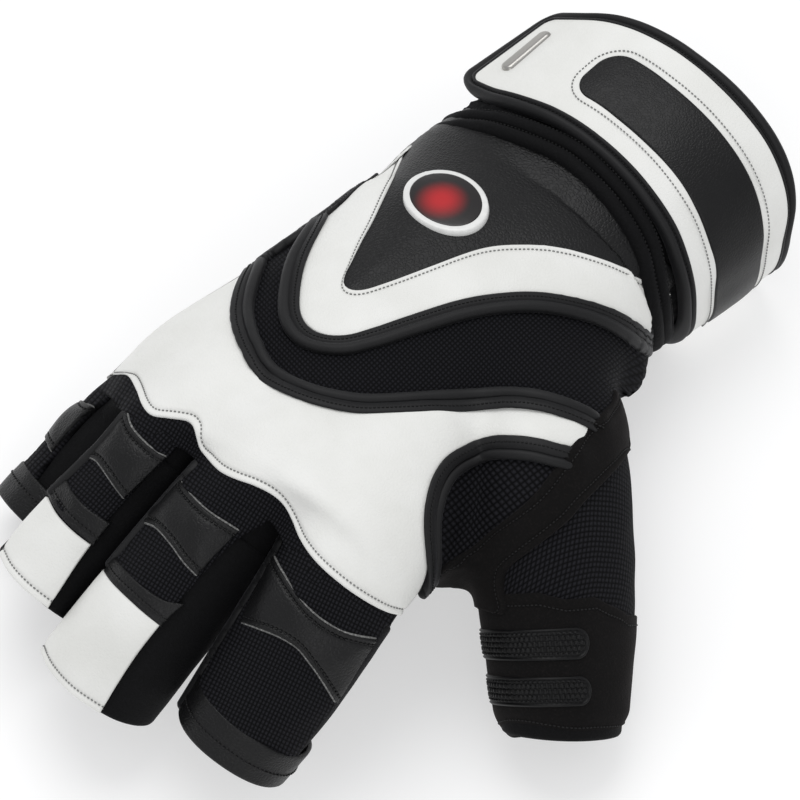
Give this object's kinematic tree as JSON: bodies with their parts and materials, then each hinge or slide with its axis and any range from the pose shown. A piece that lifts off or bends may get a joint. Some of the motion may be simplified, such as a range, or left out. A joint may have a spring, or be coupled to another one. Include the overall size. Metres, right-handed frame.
{
  "type": "weightlifting glove",
  "caption": "Open-finger training glove for the right hand, filled as worn, with padded back panels, pull tabs and a wide hook-and-loop wrist strap.",
  "frame": {"origin": "on the floor under the middle of the glove's bounding box, with the glove resting on its strap, thumb end and little finger end", "axes": "+Y from the fingers towards the wrist, +Z out of the back of the hand, +X towards the thumb"},
  "size_m": [0.1458, 0.198, 0.0633],
  "materials": {
    "white_leather": "white synthetic leather, fine pebbled grain, satin",
    "black_leather": "black synthetic leather, fine grain, satin",
    "binding": "black elastic binding tape, soft sheen",
    "stretch_mesh": "black ribbed stretch mesh, matte",
    "suede": "black microfibre suede, napped matte",
    "loop_pile": "black brushed loop pile for the hook-and-loop strap",
    "silicone": "printed silicone grip with fine cells, satin",
    "badge_rim": "moulded soft rubber, white",
    "badge_field": "moulded soft rubber, red and black",
    "metal_bar": "small bright silver bar"
  },
  "bodies": {
    "root": {"hand_palm": "suede", "hand_back": "stretch_mesh", "index_stall": "stretch_mesh", "middle_stall": "stretch_mesh", "ring_stall": "stretch_mesh", "little_stall": "stretch_mesh", "thumb_stall": "stretch_mesh", "suede_strip": "suede", "back_panel": "white_leather", "web_patch": "stretch_mesh", "stretch_panel": "stretch_mesh", "wrist_band": "white_leather", "wrist_centre": "black_leather", "back_binding": "binding", "band_binding": "binding", "web_binding": "binding", "badge_rim": "badge_rim", "badge_field": "badge_field", "index_knuckle_pad": "black_leather", "middle_knuckle_pad": "black_leather", "ring_knuckle_pad": "black_leather", "little_knuckle_pad": "black_leather", "middle_pull_tab": "white_leather", "ring_pull_tab": "white_leather", "grip_upper": "silicone", "grip_lower": "silicone", "index_end_band": "black_leather", "little_end_band": "black_leather", "thumb_wrap": "suede", "palm_panel": "suede", "palm_pad_heel": "suede", "palm_pad_thumb": "suede", "palm_pad_fingers": "suede", "wrist_sleeve": "loop_pile", "collar_roll_lower": "black_leather", "collar_roll_upper": "black_leather", "strap_backing": "loop_pile", "strap_rim": "binding", "strap_face": "white_leather", "strap_inset": "black_leather", "strap_bar": "metal_bar"}
  },
  "joints": []
}
